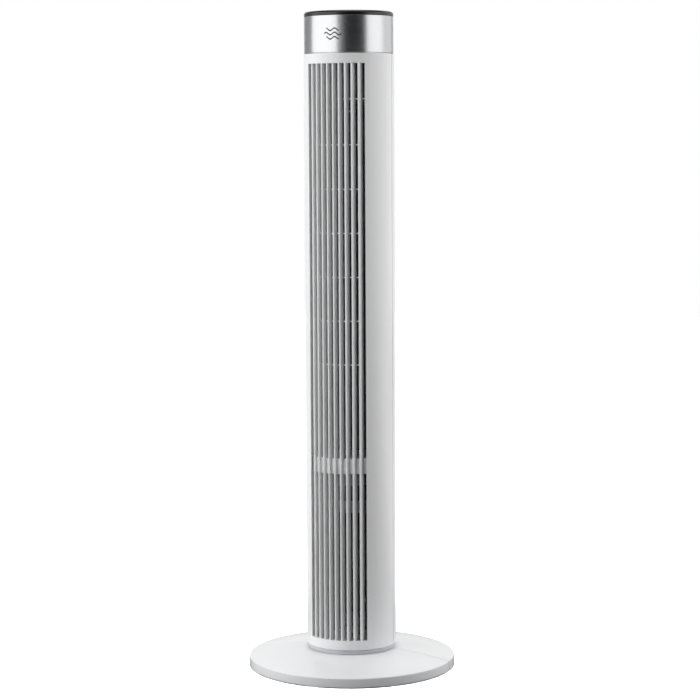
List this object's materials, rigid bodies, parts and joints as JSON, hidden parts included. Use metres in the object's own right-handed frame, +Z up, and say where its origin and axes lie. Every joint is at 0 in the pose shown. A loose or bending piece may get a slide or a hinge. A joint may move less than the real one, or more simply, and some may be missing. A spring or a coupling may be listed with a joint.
{
  "type": "tower fan",
  "caption": "Slim white tower fan on a domed round base, with a slotted front grille, silver ring, black cap with buttons and a swinging tower.",
  "frame": {"origin": "centre of the base at floor level", "axes": "+Z up along the tower, the grille faces -Y, +X to the right seen from the front"},
  "size_m": [0.3056, 0.3056, 0.96],
  "materials": {
    "white_shell": "satin white moulded plastic",
    "white_base": "glossy white moulded plastic",
    "foot": "matte light grey",
    "silver": "smooth silver",
    "black_gloss": "piano black",
    "button": "satin black",
    "smoked": "smoked, polished",
    "nylon": "natural nylon",
    "grey_plastic": "fine texture",
    "dark_plastic": "fine texture",
    "rubber": "matte black",
    "steel": "zinc-plated steel",
    "dark_steel": "painted and laminated steel",
    "bronze": "sintered bronze",
    "copper": "enamelled copper wire",
    "board": "green circuit board",
    "cable": "black sleeve"
  },
  "bodies": {
    "base": {"base_front_half": "white_base", "base_rear_half": "white_base", "ballast_plate": "dark_steel", "swivel_base": "white_base", "slide_washer": "nylon", "fixed_gear": "nylon", "retaining_clip": "steel", "base_screw_1": "steel", "base_screw_2": "steel", "base_screw_3": "steel", "base_screw_4": "steel", "foot_1": "foot", "foot_2": "foot", "foot_3": "foot", "foot_4": "foot", "foot_5": "foot", "foot_6": "foot", "foot_7": "foot", "foot_8": "foot", "foot_9": "foot", "foot_10": "foot"},
    "tower": {"turntable_top": "grey_plastic", "swing_motor": "steel", "front_grille_shell": "white_shell", "rear_intake_shell": "white_shell", "carry_handle": "grey_plastic", "cord_gland": "dark_plastic", "motor_partition": "white_shell", "top_bearing_plate": "grey_plastic", "bearing_grommet": "rubber", "bearing_bush": "bronze", "scroll_wall": "dark_plastic", "cutoff_wall": "dark_plastic", "motor_stator": "dark_steel", "motor_winding": "copper", "motor_upper_bracket": "steel", "motor_lower_bracket": "steel", "main_board": "board", "run_capacitor": "grey_plastic", "wire_harness": "cable", "trim_ring": "silver", "top_cap": "black_gloss", "display_window": "smoked", "control_board": "board", "ir_receiver": "dark_plastic", "shell_screw_1": "steel", "shell_screw_2": "steel", "shell_screw_3": "steel", "shell_screw_4": "steel"},
    "impeller": {"impeller": "dark_plastic", "impeller_shaft": "steel", "drive_hub": "rubber", "motor_rotor": "steel"},
    "pinion": {"swing_pinion": "nylon"},
    "power_button": {"power_button": "button"},
    "speed_button": {"speed_button": "button"},
    "mode_button": {"mode_button": "button"},
    "timer_button": {"timer_button": "button"},
    "swing_button": {"swing_button": "button"}
  },
  "joints": [
    {"name": "tower_swing", "type": "hinge", "parent": "base", "child": "tower", "pos_m": [0, 0, 0.0343], "axis": [0, 0, 1], "range_deg": [-40, 40]},
    {"name": "impeller_spin", "type": "hinge", "parent": "tower", "child": "impeller", "pos_m": [0, 0.005, 0.3255], "axis": [0, 0, 1], "continuous": true},
    {"name": "pinion_spin", "type": "hinge", "parent": "tower", "child": "pinion", "pos_m": [0, 0.0375, 0.043], "axis": [0, 0, 1], "range_deg": [-165, 165]},
    {"name": "power_press", "type": "slide", "parent": "tower", "child": "power_button", "axis": [0, 0, -1], "range_m": [0, 0.0008], "stiffness_N_per_m": 400, "springref_m": -0.0004},
    {"name": "speed_press", "type": "slide", "parent": "tower", "child": "speed_button", "axis": [0, 0, -1], "range_m": [0, 0.0008], "stiffness_N_per_m": 400, "springref_m": -0.0004},
    {"name": "mode_press", "type": "slide", "parent": "tower", "child": "mode_button", "axis": [0, 0, -1], "range_m": [0, 0.0008], "stiffness_N_per_m": 400, "springref_m": -0.0004},
    {"name": "timer_press", "type": "slide", "parent": "tower", "child": "timer_button", "axis": [0, 0, -1], "range_m": [0, 0.0008], "stiffness_N_per_m": 400, "springref_m": -0.0004},
    {"name": "swing_press", "type": "slide", "parent": "tower", "child": "swing_button", "axis": [0, 0, -1], "range_m": [0, 0.0008], "stiffness_N_per_m": 400, "springref_m": -0.0004}
  ],
  "couplings": [
    {"joint": "pinion_spin", "follows": "tower_swing", "ratio": 4}
  ]
}
